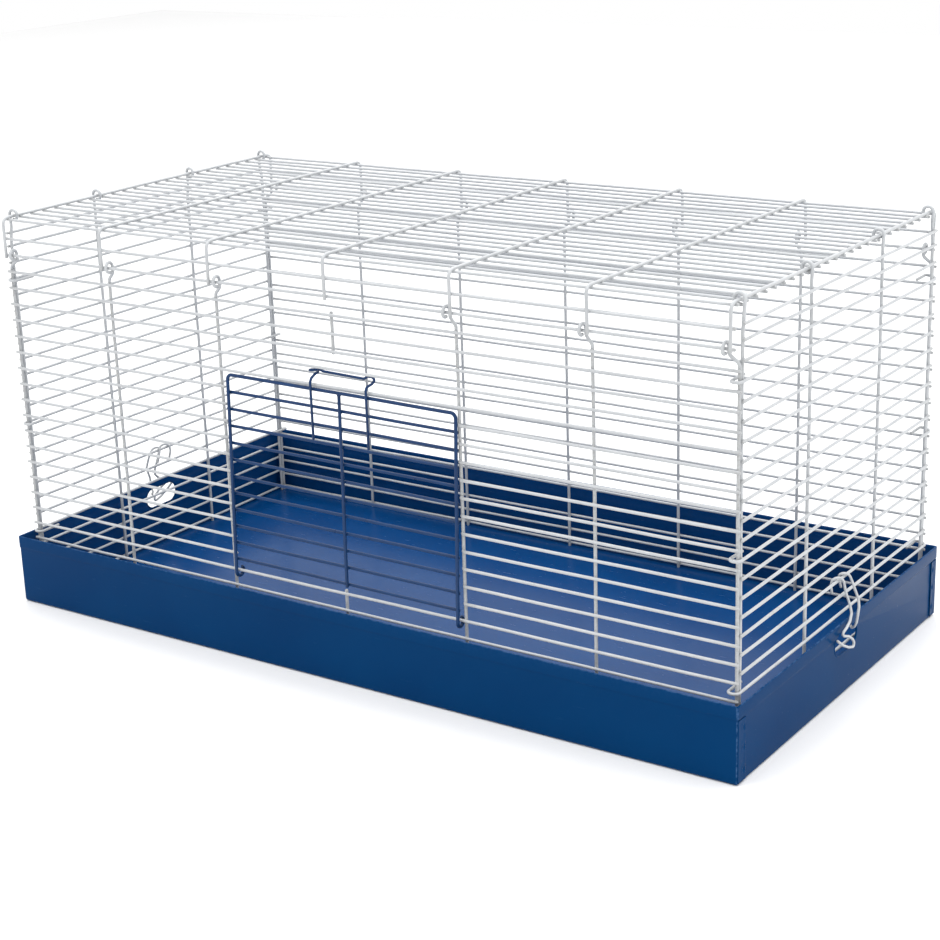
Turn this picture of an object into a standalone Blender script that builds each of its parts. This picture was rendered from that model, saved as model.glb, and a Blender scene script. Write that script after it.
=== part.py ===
"""Wire rabbit cage: a white welded-wire top that lifts off a blue sheet-metal pan.

Metres, +Z up. X runs along the cage, the door faces -Y, and the origin is under the middle of the pan.
"""

import math

import bmesh
import bpy
from mathutils import Vector

# Pan
PAN_LENGTH = 1.000
PAN_DEPTH = 0.517
PAN_HEIGHT = 0.0865
SHEET = 0.0012
HEM_THICKNESS = 0.0010
HEM_HEIGHT = 0.015
TAB_WIDTH = 0.014
TAB_THICKNESS = 0.0008
HOLE_LENGTH = 0.058
HOLE_HEIGHT = 0.027
HOLE_Z = 0.063
HOLE_RIM = 0.0022
HOLE_RIM_OUT = 0.0012
HOLE_CUT = 0.020

# Wire. Each wire's solid has a square section with the same area as the round wire.
FINE_RADIUS = 0.0016
HEAVY_RADIUS = 0.0019
SPRING_RADIUS = 0.0015
DOOR_FRAME_RADIUS = 0.0020
DOOR_BAR_RADIUS = 0.0018
SQUARE_CORNER = math.sqrt(math.pi / 2)
SQUARE_FLAT = math.sqrt(math.pi) / 2
GAP = 0.0003
WELD_DEPTH = 0.0004
PITCH = 0.020
WIRE_END = 0.003

# The wire top stands on the pan's floor
FLOOR_Z = SHEET + GAP
FRONT_ROW_Y = -0.2374
BACK_ROW_Y = 0.2454
END_ROW_X = 0.4895
EDGE_X = 0.4815
PANEL_EDGE_X = 0.4858
INNER_X = (-0.325, -0.1625, 0.1625, 0.325)
END_CORNER_Y = (-0.2300, 0.2380)
END_CORNER_EYE_Y = (-0.2275, 0.2345)
LEFT_INNER_Y = (-0.0865, 0.0850)
LEFT_INNER_EYE_Y = (-0.0865, 0.0880)
RIGHT_INNER_Y = (-0.0790, 0.0970)
RIGHT_INNER_EYE_Y = (-0.0800, 0.0970)
TOP_FINE_Z = 0.4840
TOP_FIRST_Y = -0.236
TOP_ROWS = 25
LIP_Z = (0.4420, 0.4620)
LIP_END_Z = 0.4395
LIP_BEND = 0.008
FRONT_LIP_Y = -0.2416
BACK_LIP_Y = 0.2491
EYE_RADIUS = 0.0058
EYE_JOG = 0.007
PANEL_JOG_Z = (0.4270, 0.4350)
PANEL_EYE_IN = 0.0013
PANEL_EYE_RISE = 0.0005
END_JOG_Z = (0.4560, 0.4740)
END_EYE_RISE = 0.0040
EYE_TURN = math.radians(255)
EYE_STEP = math.radians(30)

# Rows
BOTTOM_ROW_Z = 0.0055
FRONT_FIRST_Z = 0.0205
BACK_FIRST_Z = 0.0238
BACK_ROWS = 21
END_FIRST_Z = 0.0300
END_ROWS = 22
END_TOP_ROW_Z = 0.4660
HINGE_ROW = 4
DOORWAY_ROWS = range(5, 16)
FRONT_ROWS = 21
NUB_X = (-0.1560, 0.1637)
HOOK_ROWS = (3, 10, 19)
BACK_HOOK_RISE = 0.0038
HOOK_RETURN = 0.025
HOOK_INSIDE_X = 0.4779
HOOK_STEPS = 6

# Door, hung on the hinge row of the front panel
HINGE_Z = FRONT_FIRST_Z + HINGE_ROW * PITCH
DOOR_HALF = 0.1556
DOOR_SHIFT = 0.0016
DOOR_SKEW = 0.0041
DOOR_SAG = 0.0022
DOOR_TOP_Z = 0.3362
DOOR_LEAN = 0.004
DOOR_CORNER = 0.006
DOOR_EYE_RADIUS = 0.0055
DOOR_EYE_DROP = 0.0016
DOOR_BARS = 11
DOOR_BAR_Z = 0.1150
DOOR_BAR_ENDS = (-0.1597, 0.1543)
DOOR_CENTRE_X = 0.0080

# Door latch
LATCH_LEFT_X = -0.0276
LATCH_RIGHT_X = 0.0480
LATCH_FOOT_Z = 0.2788
LATCH_BEND_Z = 0.3440
LATCH_NECK_Z = 0.3480
LATCH_NECK_IN = 0.0022
LATCH_INSIDE_Y = -0.2316
LATCH_BAR_Z = 0.3536
LATCH_CROOK_Z = 0.3568
LATCH_EYE = 0.0045
LATCH_EYE_X = LATCH_LEFT_X - 0.0030
LATCH_EYE_Z = (0.3520, 0.3568)
LATCH_EYE_START = math.radians(-30)
LATCH_EYE_TURN = math.radians(400)
LATCH_CLEARANCE = 0.0010

# The latch's bar and crook, as distance along from the right leg, distance in from the coil's middle, and height
LATCH_CROOK = (
    (-0.0680, 0.0036, LATCH_BAR_Z),
    (-0.0103, 0.0000, LATCH_BAR_Z),
    (-0.0048, 0.0000, LATCH_CROOK_Z),
    (0.0020, 0.0000, LATCH_CROOK_Z),
    (0.0045, -0.0006, LATCH_BAR_Z),
    (0.0026, -0.0040, LATCH_NECK_Z + 0.0020),
)

# End latches, hung on a row of each end panel
END_HINGE_ROW = 5
END_HINGE_Z = END_FIRST_Z + END_HINGE_ROW * PITCH

FLAT_FINE = FINE_RADIUS * SQUARE_FLAT
FLAT_HEAVY = HEAVY_RADIUS * SQUARE_FLAT
FLAT_SPRING = SPRING_RADIUS * SQUARE_FLAT
FLAT_FRAME = DOOR_FRAME_RADIUS * SQUARE_FLAT
DOOR_BESIDE = (DOOR_BAR_RADIUS + DOOR_FRAME_RADIUS) * SQUARE_FLAT + GAP
WELDED = FLAT_FINE + FLAT_HEAVY - WELD_DEPTH
BESIDE = FLAT_FINE + FLAT_HEAVY + GAP

WHITE = ((0.86, 0.87, 0.86), 0.35)
BLUE_SHEET = ((0.004, 0.045, 0.17), 0.22)
BLUE_WIRE = ((0.012, 0.035, 0.12), 0.35)


def clear_scene():
    for obj in list(bpy.data.objects):
        bpy.data.objects.remove(obj, do_unlink=True)


def new_collection(name):
    collection = bpy.data.collections.new(name)
    bpy.context.scene.collection.children.link(collection)
    return collection


def paint(obj, look):
    """Gives an object its own painted-metal material."""
    colour, roughness = look
    material = bpy.data.materials.new(obj.name + "_paint")
    material.use_nodes = True
    shader = material.node_tree.nodes["Principled BSDF"]
    shader.inputs["Base Color"].default_value = (*colour, 1.0)
    shader.inputs["Roughness"].default_value = roughness
    shader.inputs["Metallic"].default_value = 0.0
    shader.inputs["Coat Weight"].default_value = 0.3
    obj.data.materials.clear()
    obj.data.materials.append(material)


def wire_curve(name, routes, radius):
    """A curve of one straight-sided wire for each route, with flat sides towards its neighbours."""
    curve = bpy.data.curves.new(name, "CURVE")
    curve.dimensions = "3D"
    curve.bevel_depth = radius * SQUARE_CORNER
    curve.bevel_resolution = 0
    curve.use_fill_caps = True
    curve.twist_mode = "Z_UP" if radius in (FINE_RADIUS, DOOR_BAR_RADIUS) else "MINIMUM"
    for route in routes:
        spline = curve.splines.new("POLY")
        spline.points.add(len(route) - 1)
        for point, place in zip(spline.points, route):
            point.co = (*place, 1.0)
            point.tilt = math.pi / 4
    return curve


def wire_mesh(name, routes, radius):
    """The wires of a curve as one mesh, with welded caps."""
    curve = wire_curve(name, routes, radius)
    source = bpy.data.objects.new(name + "_route", curve)
    bpy.context.scene.collection.objects.link(source)
    graph = bpy.context.evaluated_depsgraph_get()
    mesh = bpy.data.meshes.new_from_object(source.evaluated_get(graph))
    mesh.transform(source.matrix_world)
    bpy.data.objects.remove(source, do_unlink=True)
    bpy.data.curves.remove(curve)
    work = bmesh.new()
    work.from_mesh(mesh)
    bmesh.ops.remove_doubles(work, verts=work.verts, dist=1e-6)
    bmesh.ops.recalc_face_normals(work, faces=work.faces)
    work.to_mesh(mesh)
    work.free()
    mesh.name = name
    return mesh


def move_origin(obj, origin):
    """Puts an object's origin on its joint without moving its shape."""
    offset = Vector(origin)
    for vertex in obj.data.vertices:
        vertex.co -= offset
    obj.location = offset


def add_wire(parts, name, route, radius, look, origin=(0, 0, 0)):
    obj = bpy.data.objects.new(name, wire_mesh(name, [route], radius))
    parts.objects.link(obj)
    move_origin(obj, origin)
    paint(obj, look)
    return obj


def add_grid(parts, cutters, name, fine, heavy, look):
    """Fine wires welded to heavy ones: one solid."""
    obj = bpy.data.objects.new(name, wire_mesh(name, fine, FINE_RADIUS))
    parts.objects.link(obj)
    other = bpy.data.objects.new(name + "_heavy", wire_mesh(name + "_heavy", heavy, HEAVY_RADIUS))
    cutters.objects.link(other)
    hide(other)
    weld = obj.modifiers.new("weld", "BOOLEAN")
    weld.operation = "UNION"
    weld.object = other
    paint(obj, look)
    return obj


def hide(obj):
    obj.hide_render = True
    obj.display_type = "WIRE"


def arc(centre, radius, start, turn, step=EYE_STEP):
    """Points in a plane, as (across, up) pairs, round a centre from a start angle through a turn."""
    count = max(2, round(abs(turn) / step))
    points = []
    for index in range(count + 1):
        angle = start + turn * index / count
        across = centre[0] + radius * math.cos(angle)
        up = centre[1] + radius * math.sin(angle)
        points.append((across, up))
    return points


def eye(line, centre):
    """An eye at the top of an upright, in its own plane: over the far side of the held wire and back under it."""
    leads_right = line > centre[0]
    start = 0.0 if leads_right else math.pi
    turn = EYE_TURN if leads_right else -EYE_TURN
    return arc(centre, EYE_RADIUS, start, turn)


def panel_upright(x, y, lip_y, eye_x=None):
    """A front or back upright: straight, then a jog towards the cage's centre and an eye round the lower lip wire."""
    if eye_x is None:
        eye_x = x - math.copysign(EYE_JOG, x) if x else EYE_JOG
    outward = math.copysign(1, y)
    centre = (lip_y - outward * PANEL_EYE_IN, LIP_Z[0] + PANEL_EYE_RISE)
    route = [(x, y, FLOOR_Z), (x, y, PANEL_JOG_Z[0]), (eye_x, y, PANEL_JOG_Z[1])]
    route += [(eye_x, across, up) for across, up in eye(y, centre)]
    return route


def edge_uprights(y, lip_y):
    """A front or back panel's two outer uprights, with their eyes beside the top panel's outer cross wires."""
    eye_x = EDGE_X - EYE_JOG
    return [panel_upright(side * PANEL_EDGE_X, y, lip_y, side * eye_x) for side in (-1, 1)]


def end_upright(x, y, eye_y):
    """An end panel's upright, with an eye round the top panel's outer cross wire."""
    side = math.copysign(1, x)
    centre = (side * EDGE_X, TOP_FINE_Z + END_EYE_RISE)
    route = [(x, y, FLOOR_Z), (x, y, END_JOG_Z[0])]
    route.append((x, eye_y, END_JOG_Z[1]))
    route += [(across, eye_y, up) for across, up in eye(x, centre)]
    return route


def cross_wire(x, offset):
    """A wire across the top panel, bent down into a lip at the front and at the back."""
    z = TOP_FINE_Z + offset
    front = FRONT_LIP_Y - offset
    back = BACK_LIP_Y + offset
    route = [(x, front, LIP_END_Z)]
    corner = (front + LIP_BEND, z - LIP_BEND)
    route += [(x, across, up) for across, up in arc(corner, LIP_BEND, math.pi, -math.pi / 2)]
    corner = (back - LIP_BEND, z - LIP_BEND)
    route += [(x, across, up) for across, up in arc(corner, LIP_BEND, math.pi / 2, -math.pi / 2)]
    route.append((x, back, LIP_END_Z))
    return route


def along_x(y, z, low, high):
    return [(low, y, z), (high, y, z)]


def make_top_panel(parts, cutters):
    reach = EDGE_X + WIRE_END
    fine = [along_x(TOP_FIRST_Y + PITCH * row, TOP_FINE_Z, -reach, reach) for row in range(TOP_ROWS)]
    for lip_y in (FRONT_LIP_Y, BACK_LIP_Y):
        fine += [along_x(lip_y, z, -reach, reach) for z in LIP_Z]
    heavy = [cross_wire(x, WELDED) for x in (-EDGE_X, EDGE_X)]
    add_grid(parts, cutters, "top_grid", fine, heavy, WHITE)
    for index, x in enumerate((*INNER_X[:2], 0.0, *INNER_X[2:])):
        add_wire(parts, f"top_cross_wire_{index + 1}", cross_wire(x, BESIDE), HEAVY_RADIUS, WHITE)


def make_front_panel(parts, cutters):
    reach = PANEL_EDGE_X + WIRE_END
    fine = [along_x(FRONT_ROW_Y, BOTTOM_ROW_Z, -reach, reach)]
    for row in range(FRONT_ROWS):
        z = FRONT_FIRST_Z + PITCH * row
        if row in DOORWAY_ROWS:
            fine.append(along_x(FRONT_ROW_Y, z, -reach, NUB_X[0]))
            fine.append(along_x(FRONT_ROW_Y, z, NUB_X[1], reach))
        else:
            fine.append(along_x(FRONT_ROW_Y, z, -reach, reach))
    heavy = edge_uprights(FRONT_ROW_Y + WELDED, FRONT_LIP_Y)
    add_grid(parts, cutters, "front_grid", fine, heavy, WHITE)
    y = FRONT_ROW_Y + BESIDE
    for index, x in enumerate(INNER_X):
        route = panel_upright(x, y, FRONT_LIP_Y)
        add_wire(parts, f"front_upright_{index + 1}", route, HEAVY_RADIUS, WHITE)
    top = FRONT_FIRST_Z + PITCH * (FRONT_ROWS - 1) + WIRE_END
    over_door = FRONT_FIRST_Z + PITCH * (FRONT_ROWS - 3) - WIRE_END
    add_wire(parts, "front_stub_over_door", [(0, y, over_door), (0, y, top)], HEAVY_RADIUS, WHITE)
    under_door = [(0, y, FLOOR_Z), (0, y, HINGE_Z + WIRE_END)]
    add_wire(parts, "front_stub_under_door", under_door, HEAVY_RADIUS, WHITE)


def make_back_panel(parts, cutters):
    reach = PANEL_EDGE_X + WIRE_END
    heights = [BOTTOM_ROW_Z] + [BACK_FIRST_Z + PITCH * row for row in range(BACK_ROWS)]
    fine = [along_x(BACK_ROW_Y, z, -reach, reach) for z in heights]
    heavy = edge_uprights(BACK_ROW_Y - WELDED, BACK_LIP_Y)
    add_grid(parts, cutters, "back_grid", fine, heavy, WHITE)
    for index, x in enumerate((*INNER_X[:2], 0.0, *INNER_X[2:])):
        route = panel_upright(x, BACK_ROW_Y - BESIDE, BACK_LIP_Y)
        add_wire(parts, f"back_upright_{index + 1}", route, HEAVY_RADIUS, WHITE)


def hook(side, z, y, outward, rise):
    """A row's end bent round both uprights at a corner and back along the inside: from the row outwards."""
    middle = side * (END_ROW_X + HOOK_INSIDE_X) / 2
    radius = (END_ROW_X - HOOK_INSIDE_X) / 2
    points = []
    for index in range(HOOK_STEPS + 1):
        done = index / HOOK_STEPS
        x = middle + side * radius * math.cos(math.pi * done)
        points.append((x, y + outward * radius * math.sin(math.pi * done), z + rise * done))
    points.append((side * HOOK_INSIDE_X, y - outward * HOOK_RETURN, z + rise))
    return points


def make_end_panel(parts, cutters, name, side, inner_y, inner_eye_y):
    front_y = FRONT_ROW_Y + WELDED
    back_y = BACK_ROW_Y - WELDED
    low = END_CORNER_Y[0] - WIRE_END
    high = END_CORNER_Y[1] + WIRE_END
    x = side * END_ROW_X
    fine = [[(x, low, z), (x, high, z)] for z in (BOTTOM_ROW_Z, END_TOP_ROW_Z)]
    for row in range(END_ROWS):
        z = END_FIRST_Z + PITCH * row
        if row in HOOK_ROWS:
            fine.append(hook(side, z, front_y, -1, 0)[::-1] + hook(side, z, back_y, 1, BACK_HOOK_RISE))
        else:
            fine.append([(x, low, z), (x, high, z)])
    corner_x = side * (END_ROW_X - WELDED)
    heavy = [end_upright(corner_x, y, eye_y) for y, eye_y in zip(END_CORNER_Y, END_CORNER_EYE_Y)]
    add_grid(parts, cutters, name + "_grid", fine, heavy, WHITE)
    inner_x = side * (END_ROW_X - BESIDE)
    for index, (y, eye_y) in enumerate(zip(inner_y, inner_eye_y)):
        add_wire(parts, f"{name}_upright_{index + 1}", end_upright(inner_x, y, eye_y), HEAVY_RADIUS, WHITE)


def door_y(z):
    """The door frame's plane: it leans inwards towards its top."""
    foot = FRONT_ROW_Y - DOOR_EYE_RADIUS
    return foot + DOOR_LEAN * (z - HINGE_Z) / (DOOR_TOP_Z - HINGE_Z)


def door_x(offset, z):
    """A place across the door, which is skewed a little to the right towards its top."""
    return DOOR_SHIFT + offset + DOOR_SKEW * (z - HINGE_Z) / (DOOR_TOP_Z - HINGE_Z)


def door_sag(offset):
    """How much lower the door's bars hang towards its right."""
    return -DOOR_SAG * (offset + DOOR_HALF) / (2 * DOOR_HALF)


def door_leg(side):
    """A leg from its eye round the hinge wire up to the frame's corner."""
    eye_z = HINGE_Z - DOOR_EYE_DROP
    curl = arc((FRONT_ROW_Y, eye_z), DOOR_EYE_RADIUS, math.radians(400), math.radians(-220))
    route = [(door_x(side * DOOR_HALF, HINGE_Z), across, up) for across, up in curl]
    top_z = DOOR_TOP_Z + door_sag(side * DOOR_HALF)
    start = 0.0 if side > 0 else math.pi
    corner = arc((side * (DOOR_HALF - DOOR_CORNER), top_z - DOOR_CORNER), DOOR_CORNER, start, side * math.pi / 2)
    return route + [(door_x(across, up), door_y(up), up) for across, up in corner]


def make_door(parts):
    hinge = (0, FRONT_ROW_Y, HINGE_Z)
    route = door_leg(-1) + door_leg(1)[::-1]
    add_wire(parts, "door_frame", route, DOOR_FRAME_RADIUS, BLUE_WIRE, hinge)
    for index in range(DOOR_BARS):
        z = DOOR_BAR_Z + PITCH * index
        route = [(door_x(end, z), door_y(z) + DOOR_BESIDE, z + door_sag(end)) for end in DOOR_BAR_ENDS]
        add_wire(parts, f"door_bar_{index + 1:02d}", route, DOOR_BAR_RADIUS, BLUE_WIRE, hinge)
    low = DOOR_BAR_Z - WIRE_END
    high = DOOR_TOP_Z + door_sag(DOOR_CENTRE_X) - FLAT_FRAME - GAP
    centre = [(DOOR_CENTRE_X, door_y(z), z) for z in (low, high)]
    add_wire(parts, "door_centre_bar", centre, HEAVY_RADIUS, BLUE_WIRE, hinge)


def latch_leg(x):
    """A leg in front of the door, up and in between two rows of the front panel."""
    outside = door_y(DOOR_TOP_Z) - FLAT_FRAME - FLAT_SPRING - LATCH_CLEARANCE
    neck = outside + LATCH_NECK_IN
    return [(x, outside, LATCH_FOOT_Z), (x, outside, LATCH_BEND_Z), (x, neck, LATCH_NECK_Z)]


def latch_eye():
    """A flat coil on the latch's left, rising once round from its leg to its bar."""
    low, high = LATCH_EYE_Z
    ring = arc((LATCH_EYE_X, LATCH_INSIDE_Y), LATCH_EYE, LATCH_EYE_START, LATCH_EYE_TURN)
    rise = (high - low) / (len(ring) - 1)
    return [(x, y, low + rise * step) for step, (x, y) in enumerate(ring)]


def make_door_latch(parts):
    """One bent spring wire: two legs, a coil on the left, a bar to press down, and a crook on the right."""
    route = latch_leg(LATCH_LEFT_X) + latch_eye()
    for along, out, z in LATCH_CROOK:
        route.append((LATCH_RIGHT_X + along, LATCH_INSIDE_Y + out, z))
    route += latch_leg(LATCH_RIGHT_X)[::-1]
    add_wire(parts, "door_latch", route, SPRING_RADIUS, BLUE_WIRE, (0, LATCH_INSIDE_Y, LATCH_BAR_Z))


# The end latches' two wires, as distance out from the cage's middle, distance along the end, and height.
# The lever: its end inside, over the hinge row, down past the pan's rim, and a folded finger grip outside the wall.
LEVER_ROUTE = (
    (0.4845, -0.0070, 0.1155),
    (0.4845, -0.0105, 0.1249),
    (0.4856, -0.0105, 0.1318),
    (0.4880, -0.0078, 0.1341),
    (0.4912, -0.0044, 0.1343),
    (0.4938, -0.0020, 0.1322),
    (0.4946, 0.0002, 0.1285),
    (0.4955, 0.0040, 0.1160),
    (0.5000, 0.0061, 0.1010),
    (0.5030, 0.0040, 0.0927),
    (0.5045, -0.0030, 0.0862),
    (0.5045, -0.0120, 0.0815),
    (0.5045, -0.0195, 0.0795),
    (0.5047, -0.0222, 0.0770),
    (0.5050, -0.0185, 0.0745),
    (0.5050, -0.0066, 0.0700),
    (0.5055, 0.0030, 0.0632),
    (0.5060, 0.0062, 0.0580),
    (0.5060, 0.0040, 0.0540),
    (0.5060, -0.0080, 0.0578),
    (0.5060, -0.0233, 0.0657),
    (0.5060, -0.0381, 0.0761),
)

# The hook: its end inside, over the hinge row, bowed out over the rim, and back in through the pan's hole.
HOOK_ROUTE = (
    (0.4845, 0.0158, 0.1155),
    (0.4845, 0.0115, 0.1249),
    (0.4856, 0.0083, 0.1318),
    (0.4880, 0.0083, 0.1341),
    (0.4912, 0.0108, 0.1343),
    (0.4938, 0.0144, 0.1322),
    (0.4946, 0.0172, 0.1285),
    (0.4960, 0.0198, 0.1221),
    (0.5000, 0.0188, 0.1138),
    (0.5050, 0.0169, 0.1048),
    (0.5078, 0.0123, 0.0980),
    (0.5080, 0.0090, 0.0892),
    (0.5065, 0.0095, 0.0805),
    (0.5035, 0.0115, 0.0745),
    (0.4990, 0.0145, 0.0712),
    (0.4950, 0.0204, 0.0705),
)


def make_end_latch(parts, name, side):
    """An end latch's lever and hook; the latch at the other end is the same, turned half round."""
    hinge = (side * END_ROW_X, 0, END_HINGE_Z)
    for piece, shape in (("lever", LEVER_ROUTE), ("hook", HOOK_ROUTE)):
        route = [(side * out, side * along, z) for out, along, z in shape]
        add_wire(parts, f"{name}_{piece}", route, SPRING_RADIUS, WHITE, hinge)


def add_box(collection, name, low, high):
    bpy.ops.mesh.primitive_cube_add(size=1)
    box = bpy.context.object
    box.name = name
    box.data.name = name
    for vertex in box.data.vertices:
        vertex.co = [a + (b - a) * (c + 0.5) for a, b, c in zip(low, high, vertex.co)]
    for owner in list(box.users_collection):
        owner.objects.unlink(box)
    collection.objects.link(box)
    return box


def add_slot(collection, name, x, length, height, thickness):
    """A stadium-shaped block across an end wall."""
    curve = bpy.data.curves.new(name, "CURVE")
    curve.dimensions = "2D"
    curve.fill_mode = "BOTH"
    curve.extrude = thickness / 2
    radius = height / 2
    reach = length / 2 - radius
    outline = arc((reach, 0), radius, -math.pi / 2, math.pi, math.radians(22.5))
    outline += arc((-reach, 0), radius, math.pi / 2, math.pi, math.radians(22.5))
    spline = curve.splines.new("POLY")
    spline.points.add(len(outline) - 1)
    spline.use_cyclic_u = True
    for point, (across, up) in zip(spline.points, outline):
        point.co = (across, up, 0, 1)
    source = bpy.data.objects.new(name + "_outline", curve)
    bpy.context.scene.collection.objects.link(source)
    source.rotation_euler = (math.pi / 2, 0, math.pi / 2)
    source.location = (x, 0, HOLE_Z)
    bpy.context.view_layer.update()
    graph = bpy.context.evaluated_depsgraph_get()
    mesh = bpy.data.meshes.new_from_object(source.evaluated_get(graph))
    mesh.transform(source.matrix_world)
    bpy.data.objects.remove(source, do_unlink=True)
    work = bmesh.new()
    work.from_mesh(mesh)
    bmesh.ops.remove_doubles(work, verts=work.verts, dist=1e-6)
    bmesh.ops.recalc_face_normals(work, faces=work.faces)
    work.to_mesh(mesh)
    work.free()
    slot = bpy.data.objects.new(name, mesh)
    collection.objects.link(slot)
    return slot


def cut(target, tool, operation):
    hide(tool)
    step = target.modifiers.new(tool.name, "BOOLEAN")
    step.operation = operation
    step.object = tool


def pan_steps(cutters, half_x, half_y):
    """What shapes the pan's block: a hem round its rim, tabs folded onto its ends, rimmed holes, and its inside."""
    low = (-half_x - HEM_THICKNESS, -half_y - HEM_THICKNESS, PAN_HEIGHT - HEM_HEIGHT)
    high = (half_x + HEM_THICKNESS, half_y + HEM_THICKNESS, PAN_HEIGHT)
    steps = [(add_box(cutters, "hem", low, high), "UNION")]
    for side in (-1, 1):
        for end in (-1, 1):
            corner_a = (side * (half_x - SHEET / 2), end * half_y, SHEET)
            corner_b = (side * (half_x + TAB_THICKNESS), end * (half_y - TAB_WIDTH), PAN_HEIGHT - HEM_HEIGHT / 2)
            tab_low = [min(pair) for pair in zip(corner_a, corner_b)]
            tab_high = [max(pair) for pair in zip(corner_a, corner_b)]
            steps.append((add_box(cutters, f"tab_{side}_{end}", tab_low, tab_high), "UNION"))
        rim_x = side * (half_x - SHEET / 2 + HOLE_RIM_OUT / 2)
        rim_size = (HOLE_LENGTH + 2 * HOLE_RIM, HOLE_HEIGHT + 2 * HOLE_RIM, SHEET + HOLE_RIM_OUT)
        steps.append((add_slot(cutters, f"rim_{side}", rim_x, *rim_size), "UNION"))
    inside_x = half_x - SHEET
    inside_y = half_y - SHEET
    inside = add_box(cutters, "inside", (-inside_x, -inside_y, SHEET), (inside_x, inside_y, 2 * PAN_HEIGHT))
    steps.append((inside, "DIFFERENCE"))
    for side in (-1, 1):
        slot = add_slot(cutters, f"hole_{side}", side * half_x, HOLE_LENGTH, HOLE_HEIGHT, HOLE_CUT)
        steps.append((slot, "DIFFERENCE"))
    return steps


def make_pan(parts, cutters):
    """The pan as three solids: its floor with the front and back walls, and its two end walls."""
    half_x = PAN_LENGTH / 2 - HEM_THICKNESS
    half_y = PAN_DEPTH / 2 - HEM_THICKNESS
    steps = pan_steps(cutters, half_x, half_y)
    fold = half_x - SHEET
    spans = {
        "base_pan": (GAP - fold, fold - GAP),
        "left_pan_end": (-PAN_LENGTH, -fold),
        "right_pan_end": (fold, PAN_LENGTH),
    }
    for name, (low, high) in spans.items():
        piece = add_box(parts, name, (-half_x, -half_y, 0), (half_x, half_y, PAN_HEIGHT))
        kept = add_box(cutters, name + "_kept", (low, -PAN_DEPTH, -PAN_HEIGHT), (high, PAN_DEPTH, 2 * PAN_HEIGHT))
        for tool, operation in [*steps, (kept, "INTERSECT")]:
            cut(piece, tool, operation)
        paint(piece, BLUE_SHEET)


def main():
    clear_scene()
    parts = new_collection("wire_rabbit_cage")
    cutters = new_collection("cutters")
    make_pan(parts, cutters)
    make_top_panel(parts, cutters)
    make_front_panel(parts, cutters)
    make_back_panel(parts, cutters)
    make_end_panel(parts, cutters, "left_end", -1, LEFT_INNER_Y, LEFT_INNER_EYE_Y)
    make_end_panel(parts, cutters, "right_end", 1, RIGHT_INNER_Y, RIGHT_INNER_EYE_Y)
    make_door(parts)
    make_door_latch(parts)
    make_end_latch(parts, "left_latch", -1)
    make_end_latch(parts, "right_latch", 1)
    for obj in parts.objects:
        obj.data.shade_smooth()
        obj.data.set_sharp_from_angle(angle=math.radians(40))


main()
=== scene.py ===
"""Looks of the wire rabbit cage: round coated wires with weld nuggets, and a folded and painted sheet pan.

Metres, +Z up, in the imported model's frame: X along the cage, the door faces -Y, the pan stands on z = 0.
"""

import math
import random

import bmesh
import bpy
from mathutils import Matrix, Vector, kdtree


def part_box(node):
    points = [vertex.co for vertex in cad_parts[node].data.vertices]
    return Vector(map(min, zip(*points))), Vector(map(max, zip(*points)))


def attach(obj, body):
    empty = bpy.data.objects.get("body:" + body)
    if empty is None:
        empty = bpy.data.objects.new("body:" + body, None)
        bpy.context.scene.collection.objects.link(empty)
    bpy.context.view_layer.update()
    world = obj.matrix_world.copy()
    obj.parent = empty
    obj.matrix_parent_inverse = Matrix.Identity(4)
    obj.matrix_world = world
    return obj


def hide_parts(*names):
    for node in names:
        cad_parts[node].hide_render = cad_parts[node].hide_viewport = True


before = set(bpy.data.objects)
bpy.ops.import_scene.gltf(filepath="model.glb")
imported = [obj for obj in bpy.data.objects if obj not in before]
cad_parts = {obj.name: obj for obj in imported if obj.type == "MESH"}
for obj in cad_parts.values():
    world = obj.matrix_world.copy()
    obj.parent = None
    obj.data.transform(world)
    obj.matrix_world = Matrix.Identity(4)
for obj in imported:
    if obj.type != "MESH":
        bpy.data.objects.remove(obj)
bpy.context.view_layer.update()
pan_low, pan_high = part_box("base_pan")

SEED = 20
UP = (0, 0, 1)
ALONG_X = (1, 0, 0)
ALONG_Y = (0, 1, 0)
PAN_HEIGHT = pan_high.z
PAN_HALF_Y = pan_high.y

# Wire
FINE = 0.0017
HEAVY = 0.0019
SPRING = 0.0015
DOOR_FRAME = 0.0020
DOOR_BAR = 0.0018
SINK = 0.0005
ACROSS = FINE + HEAVY - SINK
PITCH = 0.020
WIRE_END = 0.003
SIDES = 12
RING_SPACING = 0.020

# How far a wire strays from its line, how gradually it starts to, and its slow and quick waves per metre
WANDER = 0.00022
STRAIGHT_END = 0.03
SLOW_WAVE = 13.0
QUICK_WAVE = 41.0

# Welds: a bead's radius, how uneven the beads are, and how far the scorched coat reaches
NUGGET = 0.0021
DOOR_NUGGET = 0.0025
NUGGET_SPREAD = (0.88, 1.15)
NUGGET_SIDES = 10
NUGGET_STEPS = 5
WELD_REACH = 0.0042
NO_WELD = (0, 0, 10)

# The pan's sheet
SHEET = 0.0012
HEM = 0.0010
HEM_HEIGHT = 0.015
HALF_X = 0.500 - HEM
HALF_Y = PAN_HALF_Y - HEM
FOLD_RADIUS = 0.0016
CORNER_RADIUS = 0.0016
HOLE_LENGTH = 0.058
HOLE_HEIGHT = 0.027
HOLE_Z = 0.063
TAB_WIDTH = 0.0155
TAB_THICKNESS = 0.0008
TAB_GAUGE = 0.0006
TAB_LOW = 0.0022
TAB_COLUMNS = 22
TAB_ROWS = 60
TAB_WELDS = (0.0140, 0.0387, 0.0605)
TAB_WELD_IN = 0.0040
DIMPLE_SIZE = (0.0022, 0.0030)
DIMPLE_DEPTH = 0.0007
DIMPLE_LIP = 0.0003
TAB_CURL = 0.0005
HOLE_RIM = 0.00125
HOLE_CUT = 0.008

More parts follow.
